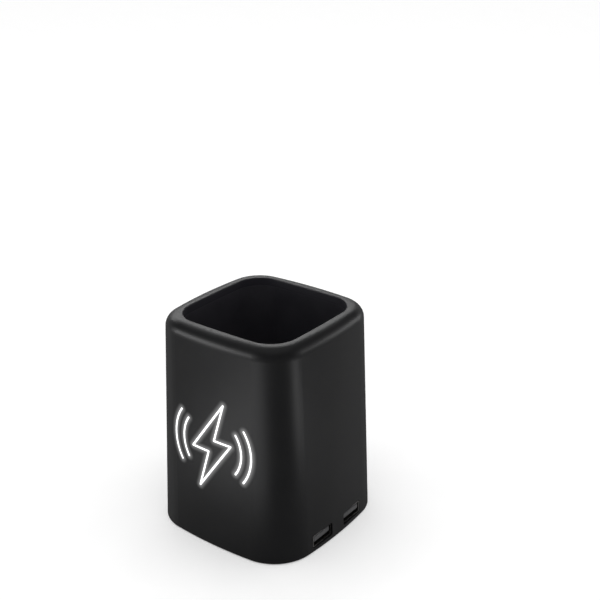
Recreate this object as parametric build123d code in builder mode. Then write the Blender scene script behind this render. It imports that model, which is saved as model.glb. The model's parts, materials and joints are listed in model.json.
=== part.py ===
from build123d import *
import math
import os

os.makedirs("parts", exist_ok=True)

# Wireless charger pen holder, in millimetres and degrees.
# The origin is the centre of its footprint on the table, +Z is up,
# the lit mark faces -Y, the two outlets face +X and the phone leans on +Y.

# Housing: a square cup whose four bowed walls lean inward
base_half = 40.0
side_bow = 205.0
corner_radius = 20.0
total_height = 100.0
draft = 2.2
rim_round = 5.4
wall = 1.8
roof = 3.6
foot_proud = 0.5

# Mouth and inner cup
mouth_margin = 10.9
mouth_bow = 600.0
mouth_corner = 12.5
mouth_edge_round = 0.4
cup_wall = 1.4
cup_draft = 1.0
cup_floor_top = 18.0
cup_floor = 1.6
cup_floor_round = 3.0

# Four long screws in the corners hold base, cup and housing together
post_inset = 4.36
post_diameter = 7.4
post_length = 12.0
post_web = 3.0
leg_diameter = 6.4
leg_top = 26.0
leg_web = 2.4
web_sink = 4.4
long_thread = 3.0
long_thread_length = 32.5
long_head = 5.5
long_head_height = 1.8
screw_clearance = 0.2
thread_gap = 0.05

# Base plate
plate_inset = 0.2
plate_thickness = 1.5
plate_gap = 0.15
screw_cup_diameter = 8.0
screw_cup_height = 3.0
screw_cup_floor = 1.8
counterbore_gap = 0.3
foot_length = 30.0
foot_width = 6.0
foot_inset = 7.5
foot_thickness = 1.0
foot_bevel = 0.2

# Circuit board, held at mid height of the sockets that it carries
socket_level = 5.35
board_thickness = 1.6
board_end_gap = 4.6
board_side_gap = 0.4
board_corner = 3.0
board_screw_gap = 8.0
board_screw_edge = 3.0
board_thread = 2.5
board_thread_length = 3.4
board_head = 4.5
board_head_height = 1.6
standoff_diameter = 5.4

# USB-A outlets
outlet_spacing = 22.2
outlet_width = 13.1
outlet_height = 5.7
outlet_length = 14.0
outlet_inset = 1.05
outlet_sheet = 0.3
outlet_corner = 0.6
outlet_cutout_gap = 0.3
outlet_tongue_width = 11.1
outlet_tongue_height = 2.6
outlet_tongue_drop = 0.6
outlet_tongue_setback = 0.2
outlet_block = 4.0
contact_width = 1.0
contact_thickness = 0.2
contact_length = 8.0
contact_places = (-3.5, -1.0, 1.0, 3.5)

# USB-C inlet
inlet_width = 8.94
inlet_height = 3.16
inlet_length = 7.3
inlet_inset = 0.7
inlet_sheet = 0.3
inlet_tongue_width = 6.7
inlet_tongue_height = 0.7
inlet_tongue_setback = 0.6
inlet_block = 2.2
inlet_cutout_gap = 0.35
board_notch_gap = 0.2

# Lit mark: a bolt outline with two arcs on each side
mark_level = 49.5
mark_bolt_tip = 6.5
mark_bolt_notch = 1.5
mark_bolt_step = 3.0
mark_line = 0.9
mark_depth = 0.3
mark_arc_step = 5.0
mark_arc_spread = 70.0

# Light unit behind the mark
guide_clearance = 0.574
guide_margin = 1.0
guide_thickness = 2.0
guide_gap = 1.8
guide_corner = 2.0
reflector_thickness = 0.25
frame_thickness = 1.0
light_frame_clearance = 1.35
light_screw_edge = 2.4
light_screw_low = 2.5
light_screw_high = 5.0
light_frame_gap = 1.0
led_pitch = 10.0
led_length = 3.0
led_width = 1.6
led_height = 1.0
led_gap = 0.2
led_board_end = 1.5
led_board_width = 2.4
led_board_thickness = 0.8
led_shelf = 1.0

# Transmitter coil behind the back wall
coil_wire = 0.9
coil_pitch = 1.36
coil_inner_radius = 10.4
coil_clearance = 0.45
coil_gap = 1.5
ferrite_lap = 0.63
ferrite_thickness = 0.8
ferrite_corner = 4.0
carrier_clearance = 0.7
carrier_rim = 0.5
carrier_thickness = 1.0
carrier_corner = 3.0
carrier_window = 7.0
coil_screw_edge = 2.5
coil_screw_end = 7.5
layer_gap = 0.05

# Small screws for the units behind the walls
small_thread = 2.0
small_thread_length = 3.2
small_head = 3.6
small_head_height = 1.1
small_boss = 4.4
pilot_depth = 2.4
cross_length_share = 0.55
cross_width_share = 0.16
cross_depth_share = 0.5

# Fold-out phone rest in the back wall
rest_margin = 21.0
rest_gap = 0.3
rest_thickness = 3.2
rest_length = 19.0
rest_axis_level = 6.4
rest_axis_depth = 3.0
rest_barrel = 2.9
rest_end_gap = 0.4
rest_corner = 1.5
lip_height = 2.4
lip_width = 2.4
lip_from_end = 1.0
lip_inset = 2.0
rest_pin = 1.8
pin_fit = 0.02
bore_fit = 0.05
ear_width = 2.4
ear_depth = 2.4
ear_top = 10.0
pad_inset = 4.0
pad_width = 9.0
pad_thickness = 0.6
pad_corner = 1.5
pad_from_axis = 9.0
tray_wall = 1.2
tray_floor = 0.7
lip_clearance = 1.1
tray_shell_gap = 0.1
tray_flange_inset = 3.0
tray_flange_height = 7.0
tray_flange_depth = 2.0
tray_screw_edge = 4.0
tray_screw_rise = 4.4
nick_radius = 12.0
nick_depth = 1.1

# Steel weight and its two stakes
weight_gap = 2.4
weight_thickness = 2.0
weight_corner = 4.0
stake_diameter = 4.0
stake_inset = 7.0
stake_length = 2.8
stake_gap = 0.15

# Leads
lead_diameter = 0.9
lead_pitch = 1.3
lead_bend = 1.6
lead_stagger = 0.6
lead_side_pass = 2.9
lead_low_pass = 2.6
lead_start_x = 14.0
lead_start_drop = 0.3
lead_start_depth = 5.2
lead_side_rise = 4.1
lead_low_rise = 4.6
lead_side_level = 34.0
lead_low_level = 15.0
lead_turn_level = 13.2
lead_entry = 0.6
led_wire_shift = 0.2

# Electronic parts on the board: length, width and height, and their places
charger_chip_size = (7.0, 7.0, 0.9)
power_chip_size = (5.0, 6.0, 1.5)
inductor_size = (7.3, 7.3, 4.5)
resonance_size = (4.5, 3.2, 2.2)
connector_size = (6.0, 4.5, 4.5)
part_bevel = 0.1
can_diameter = 6.3
can_height = 7.0
can_round = 0.5
connector_gap = 3.95
connector_edge = 5.4
charger_chip_x = -8.0
charger_chip_edge = 15.4
power_chip_gap = 10.95
inductor_x = 4.0
inductor_edge = 10.4
resonance_x = (-4.0, 2.5)
resonance_edges = (7.4, 12.4)
can_shift = 1.0
can_edges = (7.9, 15.4)

shell_bottom = foot_proud


def lean(z):
    """Inward shift of a housing wall at height z."""
    return (z - shell_bottom) * math.tan(math.radians(draft))


def corner_middle(half, bow, corner):
    """Distance from the axes to the centre of an outline's corner arcs."""
    reach = bow - half
    span = bow - corner
    return (math.sqrt(2 * span**2 - reach**2) - reach) / 2


def wall_reach(back):
    """Half width at which the inner face of a wall lies this far back from its middle."""
    half = base_half - wall
    bow = side_bow - wall
    middle = corner_middle(half, bow, corner_radius - wall)
    side_end = bow * math.sin(math.atan2(middle, middle + bow - half))
    across = math.sqrt(bow**2 - (bow - back) ** 2)
    if across > side_end:
        across = middle + math.sqrt((corner_radius - wall) ** 2 - (half - back - middle) ** 2)
    return across


# Levels and sizes that follow from the ones above
roof_under = total_height - roof
mouth_half = base_half - mouth_margin
cup_floor_under = cup_floor_top - cup_floor
plate_under = shell_bottom + plate_inset
plate_top = plate_under + plate_thickness
leg_bottom = plate_top + screw_cup_height
long_head_level = leg_bottom - screw_cup_floor
board_under = socket_level - board_thickness / 2
board_top = board_under + board_thickness
corner_reach = corner_middle(base_half, side_bow, corner_radius) + corner_radius / math.sqrt(2)
post_reach = corner_reach - post_inset
web_inner_reach = post_reach - web_sink
foot_reach = base_half - foot_inset
outlet_front = base_half - outlet_inset
outlet_back_x = outlet_front - outlet_length
inlet_front = base_half - inlet_inset
board_length = 2 * (base_half - board_end_gap)
board_width = 2 * (post_reach - screw_cup_diameter / 2 - board_side_gap)
connector_x = outlet_back_x - connector_gap
connector_y = board_width / 2 - connector_edge
board_screw_x = connector_x - board_screw_gap
board_screw_y = board_width / 2 - board_screw_edge
weight_size = 2 * (web_inner_reach - weight_gap)
stake_x = weight_size / 2 - stake_inset
guide_size = 2 * wall_reach(guide_gap - guide_clearance)
mark_height = guide_size - 2 * guide_margin
mark_bolt_half_width = mark_height / 4
mark_arc_radii = (mark_height / 2 - mark_arc_step, mark_height / 2)
light_frame_depth = guide_gap + guide_thickness + 2 * layer_gap + reflector_thickness
light_frame_width = 2 * wall_reach(light_frame_depth - light_frame_clearance)
led_board_length = guide_size - 2 * led_board_end
led_count = int(led_board_length // led_pitch)
rest_half_width = base_half - rest_margin
window_half = rest_half_width + rest_gap
window_low = rest_axis_level - rest_axis_depth - rest_gap
window_high = rest_axis_level + rest_length + rest_end_gap
tray_half = window_half + ear_width + rest_gap
tray_bottom = window_low - tray_floor
tray_top = window_high + rest_gap + tray_wall
tray_back = base_half - lean(window_high) - rest_thickness - lip_height - lip_clearance - tray_wall
tray_flange_half = rest_half_width - tray_flange_inset
tray_flange_top = tray_top + tray_flange_height - tray_wall
coil_level = (tray_flange_top + roof_under) / 2
coil_limit = wall_reach(coil_gap - coil_clearance) - coil_wire / 2
coil_half_turns = int(2 * (coil_limit - coil_inner_radius) / coil_pitch)
coil_reach = coil_inner_radius + coil_half_turns * coil_pitch / 2 + coil_wire / 2
ferrite_size = 2 * (coil_reach + ferrite_lap)
carrier_height = ferrite_size + 2 * carrier_rim
carrier_depth = coil_gap + coil_wire + 2 * layer_gap + ferrite_thickness
carrier_width = 2 * wall_reach(carrier_depth - carrier_clearance)
outlet_places = (-outlet_spacing / 2, outlet_spacing / 2)
corner_spots = [(x * post_reach, y * post_reach) for x in (-1, 1) for y in (-1, 1)]


def plan_outline(half, bow, corner):
    """Closed plan outline: four bowed sides joined by tangent corner arcs."""
    reach = bow - half
    corner_centre = corner_middle(half, bow, corner)
    half_angle = math.degrees(math.atan2(corner_centre, corner_centre + reach))
    with BuildSketch() as outline:
        with BuildLine():
            for turn in (0, 90, 180, 270):
                side = Vector(-reach, 0).rotate(Axis.Z, turn)
                round_centre = Vector(corner_centre, corner_centre).rotate(Axis.Z, turn)
                CenterArc(side, bow, turn - half_angle, 2 * half_angle)
                CenterArc(round_centre, corner, turn + half_angle, 90 - 2 * half_angle)
        make_face()
    return outline.sketch


def body_outline(z, depth=0.0):
    """Housing outline at height z, moved inward by depth."""
    inward = lean(z) + depth
    return plan_outline(base_half - inward, side_bow - inward, corner_radius - inward)


def cup_outline(z, outward=0.0):
    """Inner cup outline at height z, moved outward by a wall thickness."""
    shrink = (roof_under - z) * math.tan(math.radians(cup_draft)) - outward
    return plan_outline(mouth_half - shrink, mouth_bow - shrink, mouth_corner - shrink)


def body_solid(low, high, depth=0.0):
    """Solid of the housing's outer form between two heights, moved inward by depth."""
    with BuildPart() as block:
        with BuildSketch(Plane.XY.offset(low)):
            add(body_outline(low, depth))
        extrude(amount=high - low, taper=draft)
    return block.part


def cup_solid(low, outward=0.0):
    """Solid of the cup's form from a height up to the underside of the roof."""
    with BuildPart() as block:
        with BuildSketch(Plane.XY.offset(low)):
            add(cup_outline(low, outward))
        with BuildSketch(Plane.XY.offset(roof_under)):
            add(cup_outline(roof_under, outward))
        loft(ruled=True)
    return block.part


def wall_plane(outward, z, depth=0.0):
    """Plane that leans with the front (-1) or back (+1) wall and faces outward."""
    reach = base_half - lean(z) - depth
    lean_angle = math.radians(draft)
    normal = (0, outward * math.cos(lean_angle), math.sin(lean_angle))
    return Plane(origin=(0, outward * reach, z), x_dir=(-outward, 0, 0), z_dir=normal)


def screws(plane, spots, thread, length, head, head_height):
    """Pan-head screws seated on a plane, their threads along its normal."""
    cross = head * cross_length_share
    slot = head * cross_width_share
    with BuildPart() as group:
        with BuildSketch(plane):
            with Locations(spots):
                Circle(thread / 2)
        extrude(amount=length)
        with BuildSketch(plane.offset(-head_height)):
            with Locations(spots):
                Circle(head / 2)
        extrude(amount=head_height)
        with BuildSketch(plane.offset(-head_height)):
            with Locations(spots):
                Rectangle(cross, slot)
                Rectangle(slot, cross)
        extrude(amount=head_height * cross_depth_share, mode=Mode.SUBTRACT)
    return group.part


def lead(points):
    """One round wire along straight runs joined by tangent arcs."""
    with BuildPart() as wire:
        with BuildLine() as route:
            FilletPolyline(*points, radius=lead_bend)
        with BuildSketch(Plane(origin=route.line @ 0, z_dir=route.line % 0)):
            Circle(lead_diameter / 2)
        sweep(path=route.line)
    return wire.part


def save(part, name):
    part.label = name
    export_step(part, f"parts/{name}.step")


# Places behind the walls
light_front = wall_plane(-1, mark_level, wall).offset(-guide_gap)
reflector_front = light_front.offset(-guide_thickness - layer_gap)
frame_front = reflector_front.offset(-reflector_thickness - layer_gap)
frame_back = frame_front.offset(-frame_thickness)
frame_high = guide_size / 2
frame_step = leg_top + post_length + light_frame_gap - mark_level
light_screw_x = light_frame_width / 2 - light_screw_edge
light_spots = [(x * light_screw_x, y)
               for x in (-1, 1)
               for y in (frame_step + light_screw_low, frame_high - light_screw_high)]

coil_middle = wall_plane(1, coil_level, wall).offset(-coil_gap - coil_wire / 2)
ferrite_front = coil_middle.offset(-coil_wire / 2 - layer_gap)
carrier_front = ferrite_front.offset(-ferrite_thickness - layer_gap)
carrier_back = carrier_front.offset(-carrier_thickness)
coil_screw_x = carrier_width / 2 - coil_screw_edge
coil_screw_y = carrier_height / 2 - coil_screw_end
coil_spots = [(x * coil_screw_x, y * coil_screw_y) for x in (-1, 1) for y in (-1, 1)]

rest_axis_y = base_half - lean(rest_axis_level) - rest_axis_depth
rest_face = wall_plane(1, rest_axis_level, rest_thickness)
back_view = Plane(origin=(0, rest_axis_y, 0), x_dir=(-1, 0, 0), z_dir=(0, 1, 0))
flange_front = wall_plane(1, tray_top, wall).offset(-tray_flange_depth)
flange_back = flange_front.offset(-tray_wall)
tray_screw_x = tray_flange_half - tray_screw_edge
tray_spots = [(-tray_screw_x, tray_screw_rise), (tray_screw_x, tray_screw_rise)]

# Lit mark: where the dark coat is cut away in lines
bolt = [
    (mark_bolt_tip, mark_height / 2),
    (-mark_bolt_half_width, -mark_bolt_step),
    (-mark_bolt_notch, -mark_bolt_step),
    (-mark_bolt_tip, -mark_height / 2),
    (mark_bolt_half_width, mark_bolt_step),
    (mark_bolt_notch, mark_bolt_step),
]
mark_view = Plane.XZ.offset(base_half / 2)
with BuildSketch() as bolt_shape:
    Polygon(*bolt, align=None)
with BuildSketch() as mark_lines:
    offset(bolt_shape.sketch, amount=mark_line / 2)
    offset(bolt_shape.sketch, amount=-mark_line / 2, mode=Mode.SUBTRACT)
    for radius in mark_arc_radii:
        for middle in (0, 180):
            with BuildLine(mode=Mode.PRIVATE) as arc:
                CenterArc((0, 0), radius, middle - mark_arc_spread / 2, mark_arc_spread)
            SlotArc(arc.edge(), mark_line)
with BuildPart() as lit_mark:
    with BuildSketch(mark_view):
        with Locations((0, mark_level)):
            add(mark_lines.sketch)
    extrude(amount=base_half)
    add(body_solid(shell_bottom, total_height), mode=Mode.INTERSECT)
    add(body_solid(shell_bottom, total_height, mark_depth), mode=Mode.SUBTRACT)
save(lit_mark.part, "lit_mark")

# Corner posts, hinge ears and bosses that the housing carries inside
with BuildPart() as shell_blocks:
    with BuildSketch(Plane.XY.offset(leg_top)):
        with Locations(corner_spots):
            Circle(post_diameter / 2)
        for turn in (45, 135, 225, 315):
            spot = Vector(post_reach * math.sqrt(2) + post_diameter / 2, 0).rotate(Axis.Z, turn)
            with Locations(Location((spot.X, spot.Y), turn)):
                Rectangle(post_diameter, post_web)
    extrude(amount=post_length)
    with BuildSketch(back_view.offset(-ear_depth)):
        for side in (-1, 1):
            with Locations((side * (window_half + ear_width / 2), (window_low + ear_top) / 2)):
                Rectangle(ear_width, ear_top - window_low)
    extrude(amount=ear_depth + rest_axis_depth)
    for front, spots in (
        (frame_front, light_spots),
        (carrier_front, coil_spots),
        (flange_front, tray_spots),
    ):
        with BuildSketch(front):
            with Locations(spots):
                Circle(small_boss / 2)
        extrude(amount=guide_gap + 2 * wall)
    add(body_solid(shell_bottom, roof_under + roof / 2, wall / 2), mode=Mode.INTERSECT)

# Outer shell: walls, roof and the full round of the rim in one moulding
with BuildPart() as outer_shell:
    add(body_solid(shell_bottom, total_height))
    fillet(outer_shell.faces().sort_by(Axis.Z)[-1].edges(), rim_round)
    add(body_solid(shell_bottom, roof_under, wall), mode=Mode.SUBTRACT)
    with BuildSketch(Plane.XY.offset(roof_under)):
        add(cup_outline(roof_under))
    extrude(amount=roof, mode=Mode.SUBTRACT)
    mouth_edges = outer_shell.faces().sort_by(Axis.Z)[-1].inner_wires()[0].edges()
    fillet(mouth_edges, mouth_edge_round)
    add(shell_blocks.part)
    with BuildSketch(Plane.YZ.offset(base_half / 2)):
        for place in outlet_places:
            with Locations((place, socket_level)):
                RectangleRounded(
                    outlet_width + 2 * outlet_cutout_gap,
                    outlet_height + 2 * outlet_cutout_gap,
                    outlet_corner + outlet_cutout_gap,
                )
    extrude(amount=base_half, mode=Mode.SUBTRACT)
    with BuildSketch(Plane.YZ.offset(-base_half / 2)):
        with Locations((0, socket_level)):
            SlotOverall(inlet_width + 2 * inlet_cutout_gap, inlet_height + 2 * inlet_cutout_gap)
    extrude(amount=-base_half, mode=Mode.SUBTRACT)
    with BuildSketch(back_view.offset(-rest_thickness)):
        with Locations((0, (window_low + window_high) / 2)):
            RectangleRounded(2 * window_half, window_high - window_low, rest_corner + rest_gap)
        with Locations((0, (window_low + ear_top) / 2)):
            Rectangle(2 * window_half, ear_top - window_low)
    extrude(amount=base_half, mode=Mode.SUBTRACT)
    nick_y = base_half - lean(window_high) + nick_radius - nick_depth
    with Locations((0, nick_y, window_high)):
        Sphere(nick_radius, mode=Mode.SUBTRACT)
    with Locations(Location((0, rest_axis_y, rest_axis_level), (0, 90, 0))):
        Cylinder(rest_pin / 2 + pin_fit, 2 * (window_half + ear_width), mode=Mode.SUBTRACT)
    with BuildSketch(Plane.XY.offset(leg_top)):
        with Locations(corner_spots):
            Circle(long_thread / 2 + thread_gap)
    extrude(amount=long_thread_length, mode=Mode.SUBTRACT)
    for front, spots in (
        (frame_front, light_spots),
        (carrier_front, coil_spots),
        (flange_front, tray_spots),
    ):
        with BuildSketch(front):
            with Locations(spots):
                Circle(small_thread / 2 + thread_gap)
        extrude(amount=pilot_depth, mode=Mode.SUBTRACT)
    add(lit_mark.part, mode=Mode.SUBTRACT)
save(outer_shell.part, "outer_shell")

# Inner cup: liner with four legs that the long screws pass through
with BuildPart() as cup_space:
    add(cup_solid(cup_floor_top))
    fillet(cup_space.faces().sort_by(Axis.Z)[0].edges(), cup_floor_round)
with BuildPart() as inner_cup:
    add(cup_solid(cup_floor_under, cup_wall))
    with BuildSketch(Plane.XY.offset(leg_bottom)):
        with Locations(corner_spots):
            Circle(leg_diameter / 2)
    extrude(amount=leg_top - leg_bottom)
    web_middle = (post_reach + web_inner_reach) / 2
    web_length = (post_reach - web_inner_reach) * math.sqrt(2)
    with BuildSketch(Plane.XY.offset(cup_floor_under)):
        for turn in (45, 135, 225, 315):
            spot = Vector(web_middle * math.sqrt(2), 0).rotate(Axis.Z, turn)
            with Locations(Location((spot.X, spot.Y), turn)):
                Rectangle(web_length, leg_web)
    extrude(amount=leg_top - cup_floor_under)
    add(cup_space.part, mode=Mode.SUBTRACT)
    with BuildSketch(Plane.XY.offset(leg_bottom)):
        with Locations(corner_spots):
            Circle(long_thread / 2 + screw_clearance)
    extrude(amount=leg_top - leg_bottom, mode=Mode.SUBTRACT)
    with BuildSketch(Plane.XY.offset(cup_floor_under)):
        with Locations((-stake_x, 0), (stake_x, 0)):
            Circle(stake_diameter / 2)
    extrude(amount=-stake_length)
save(inner_cup.part, "inner_cup")

# Steel weight staked under the cup's floor
with BuildPart() as ballast_plate:
    with BuildSketch(Plane.XY.offset(cup_floor_under)):
        RectangleRounded(weight_size, weight_size, weight_corner)
        with Locations((-stake_x, 0), (stake_x, 0)):
            Circle(stake_diameter / 2 + stake_gap, mode=Mode.SUBTRACT)
    extrude(amount=-weight_thickness)
save(ballast_plate.part, "ballast_plate")

# Base plate with screw cups, standoffs and foot recesses
board_screws = [(x * board_screw_x, y * board_screw_y) for x in (-1, 1) for y in (-1, 1)]
with BuildPart() as base_plate:
    add(body_solid(plate_under, plate_top, wall + plate_gap))
    with BuildSketch(Plane.XY.offset(plate_top)):
        with Locations(corner_spots):
            Circle(screw_cup_diameter / 2)
    extrude(amount=screw_cup_height)
    with BuildSketch(Plane.XY.offset(plate_top)):
        with Locations(board_screws):
            Circle(standoff_diameter / 2)
    extrude(amount=board_under - plate_top)
    with BuildSketch(Plane.XY.offset(plate_under)):
        with Locations(corner_spots):
            Circle(long_head / 2 + counterbore_gap)
    extrude(amount=long_head_level - plate_under, mode=Mode.SUBTRACT)
    with BuildSketch(Plane.XY.offset(plate_under)):
        with Locations(corner_spots):
            Circle(long_thread / 2 + screw_clearance)
    extrude(amount=leg_bottom - plate_under, mode=Mode.SUBTRACT)
    with BuildSketch(Plane.XY.offset(board_under)):
        with Locations(board_screws):
            Circle(board_thread / 2 + thread_gap)
    extrude(amount=plate_top - board_under, mode=Mode.SUBTRACT)
    with BuildSketch(Plane.XY.offset(plate_under)):
        for turn in (0, 90, 180, 270):
            spot = Vector(foot_reach, 0).rotate(Axis.Z, turn)
            with Locations(Location((spot.X, spot.Y), turn + 90)):
                SlotOverall(foot_length + 2 * plate_gap, foot_width + 2 * plate_gap)
    extrude(amount=foot_thickness - plate_under, mode=Mode.SUBTRACT)
save(base_plate.part, "base_plate")

with BuildPart() as rubber_feet:
    with BuildSketch():
        for turn in (0, 90, 180, 270):
            spot = Vector(foot_reach, 0).rotate(Axis.Z, turn)
            with Locations(Location((spot.X, spot.Y), turn + 90)):
                SlotOverall(foot_length, foot_width)
    extrude(amount=foot_thickness)
    chamfer(rubber_feet.faces().group_by(Axis.Z)[0].edges(), foot_bevel)
save(rubber_feet.part, "rubber_feet")

upward = Plane.XY.offset(long_head_level)
base_screws = screws(
    upward, corner_spots, long_thread, long_thread_length, long_head, long_head_height
)
save(base_screws, "base_screws")

# Circuit board, notched for the sockets that sit half sunk in it
outlet_notch_length = board_length / 2 - outlet_back_x + board_notch_gap
inlet_notch_length = board_length / 2 - (inlet_front - inlet_length) + board_notch_gap
with BuildPart() as main_pcb:
    with BuildSketch(Plane.XY.offset(board_under)):
        RectangleRounded(board_length, board_width, board_corner)
        for place in outlet_places:
            with Locations((board_length / 2, place)):
                Rectangle(
                    2 * outlet_notch_length,
                    outlet_width + 2 * board_notch_gap,
                    mode=Mode.SUBTRACT,
                )
        with Locations((-board_length / 2, 0)):
            Rectangle(
                2 * inlet_notch_length, inlet_width + 2 * board_notch_gap, mode=Mode.SUBTRACT
            )
        with Locations(board_screws):
            Circle(board_thread / 2 + screw_clearance, mode=Mode.SUBTRACT)
    extrude(amount=board_thickness)
save(main_pcb.part, "main_pcb")

downward = Plane(origin=(0, 0, board_top), x_dir=(1, 0, 0), z_dir=(0, 0, -1))
pcb_screws = screws(
    downward, board_screws, board_thread, board_thread_length, board_head, board_head_height
)
save(pcb_screws, "pcb_screws")

# USB-A outlets: sheet shell, tongue with its block, and four contacts each
outlet_back = Plane.YZ.offset(outlet_back_x)
inner_width = outlet_width - 2 * outlet_sheet
inner_height = outlet_height - 2 * outlet_sheet
tongue_level = socket_level + outlet_tongue_drop
tongue_under = tongue_level - outlet_tongue_height / 2
for place, name in zip(outlet_places, ("front", "rear")):
    with BuildPart() as outlet_shell:
        with BuildSketch(outlet_back):
            with Locations((place, socket_level)):
                RectangleRounded(outlet_width, outlet_height, outlet_corner)
                RectangleRounded(
                    inner_width, inner_height, outlet_corner - outlet_sheet, mode=Mode.SUBTRACT
                )
        extrude(amount=outlet_length)
    save(outlet_shell.part, f"usb_port_{name}_shell")
    with BuildPart() as outlet_tongue:
        with BuildSketch(outlet_back):
            with Locations((place, socket_level)):
                RectangleRounded(
                    inner_width - 2 * layer_gap,
                    inner_height - 2 * layer_gap,
                    outlet_corner - outlet_sheet,
                )
        extrude(amount=outlet_block)
        with BuildSketch(outlet_back):
            with Locations((place, tongue_level)):
                Rectangle(outlet_tongue_width, outlet_tongue_height)
        extrude(amount=outlet_length - outlet_tongue_setback)
        tongue_front = outlet_tongue.faces().sort_by(Axis.X)[-1]
        chamfer(tongue_front.edges(), contact_thickness)
    save(outlet_tongue.part, f"usb_port_{name}_tongue")
    with BuildPart() as outlet_contacts:
        with BuildSketch(outlet_back.offset(outlet_block)):
            for contact_place in contact_places:
                with Locations((place + contact_place, tongue_under - contact_thickness / 2)):
                    Rectangle(contact_width, contact_thickness)
        extrude(amount=contact_length)
    save(outlet_contacts.part, f"usb_port_{name}_contacts")

# USB-C inlet in the left side
inlet_back = Plane.YZ.offset(-inlet_front + inlet_length)
with BuildPart() as input_socket_shell:
    with BuildSketch(inlet_back):
        with Locations((0, socket_level)):
            SlotOverall(inlet_width, inlet_height)
            SlotOverall(
                inlet_width - 2 * inlet_sheet, inlet_height - 2 * inlet_sheet, mode=Mode.SUBTRACT
            )
    extrude(amount=-inlet_length)
save(input_socket_shell.part, "input_socket_shell")

inlet_inner_gap = 2 * (inlet_sheet + layer_gap)
with BuildPart() as input_socket_tongue:
    with BuildSketch(inlet_back):
        with Locations((0, socket_level)):
            SlotOverall(inlet_width - inlet_inner_gap, inlet_height - inlet_inner_gap)
    extrude(amount=-inlet_block)
    with BuildSketch(inlet_back):
        with Locations((0, socket_level)):
            Rectangle(inlet_tongue_width, inlet_tongue_height)
    extrude(amount=-(inlet_length - inlet_tongue_setback))
save(input_socket_tongue.part, "input_socket_tongue")

# Electronic parts on the board, placed from its edges and sockets
half_width = board_width / 2
board_parts = (
    ("charger_chip", charger_chip_size, [(charger_chip_x, charger_chip_edge - half_width)]),
    ("power_chip", power_chip_size, [(outlet_back_x - power_chip_gap, 0)]),
    ("power_inductor", inductor_size, [(inductor_x, inductor_edge - half_width)]),
    ("resonance_capacitors", resonance_size,
     [(x, half_width - edge) for x in resonance_x for edge in resonance_edges]),
    ("coil_connector", connector_size, [(connector_x, connector_y)]),
    ("light_connector", connector_size, [(-connector_x, -connector_y)]),
)
for name, size, places in board_parts:
    length, width, height = size
    with BuildPart() as board_part:
        with BuildSketch(Plane.XY.offset(board_top)):
            with Locations(places):
                Rectangle(length, width)
        extrude(amount=height)
        chamfer(board_part.faces().group_by(Axis.Z)[-1].edges(), part_bevel)
    save(board_part.part, name)
with BuildPart() as filter_capacitors:
    with BuildSketch(Plane.XY.offset(board_top)):
        with Locations([(-connector_x - can_shift, half_width - edge) for edge in can_edges]):
            Circle(can_diameter / 2)
    extrude(amount=can_height)
    fillet(filter_capacitors.faces().group_by(Axis.Z)[-1].edges(), can_round)
save(filter_capacitors.part, "filter_capacitors")

# Light unit: guide, reflector, frame with a shelf, and the row of lamps
lamp_row = light_front.offset(-guide_thickness / 2)
lamp_top = -guide_size / 2 - led_gap
shelf_top = lamp_top - led_height - led_board_thickness
with BuildPart() as light_guide:
    with BuildSketch(light_front):
        RectangleRounded(guide_size, guide_size, guide_corner)
    extrude(amount=-guide_thickness)
save(light_guide.part, "light_guide")
with BuildPart() as light_reflector:
    with BuildSketch(reflector_front):
        RectangleRounded(guide_size, guide_size, guide_corner)
    extrude(amount=-reflector_thickness)
save(light_reflector.part, "light_reflector")
frame_low = shelf_top - led_shelf
shelf_depth = 2 * layer_gap + reflector_thickness + guide_thickness / 2 + led_board_width / 2
with BuildPart() as light_frame:
    with BuildSketch(frame_front):
        with Locations((0, (frame_low + frame_high) / 2)):
            RectangleRounded(guide_size, frame_high - frame_low, guide_corner)
        with Locations((0, (frame_step + frame_high) / 2)):
            RectangleRounded(light_frame_width, frame_high - frame_step, guide_corner)
        with Locations(light_spots):
            Circle(small_thread / 2 + screw_clearance, mode=Mode.SUBTRACT)
    extrude(amount=-frame_thickness)
    with BuildSketch(frame_front):
        with Locations((0, shelf_top - led_shelf / 2)):
            Rectangle(led_board_length, led_shelf)
    extrude(amount=shelf_depth)
save(light_frame.part, "light_frame")
with BuildPart() as led_board:
    with BuildSketch(lamp_row.offset(-led_board_width / 2 + layer_gap)):
        with Locations((0, shelf_top + led_board_thickness / 2)):
            Rectangle(led_board_length, led_board_thickness)
    extrude(amount=led_board_width - layer_gap)
save(led_board.part, "led_board")
led_places = [((i - (led_count - 1) / 2) * led_pitch, lamp_top - led_height / 2)
              for i in range(led_count)]
with BuildPart() as leds:
    with BuildSketch(lamp_row.offset(-led_width / 2)):
        with Locations(led_places):
            Rectangle(led_length, led_height)
    extrude(amount=led_width)
save(leds.part, "leds")
save(
    screws(frame_back, light_spots, small_thread, small_thread_length, small_head,
           small_head_height),
    "light_screws",
)

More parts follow.
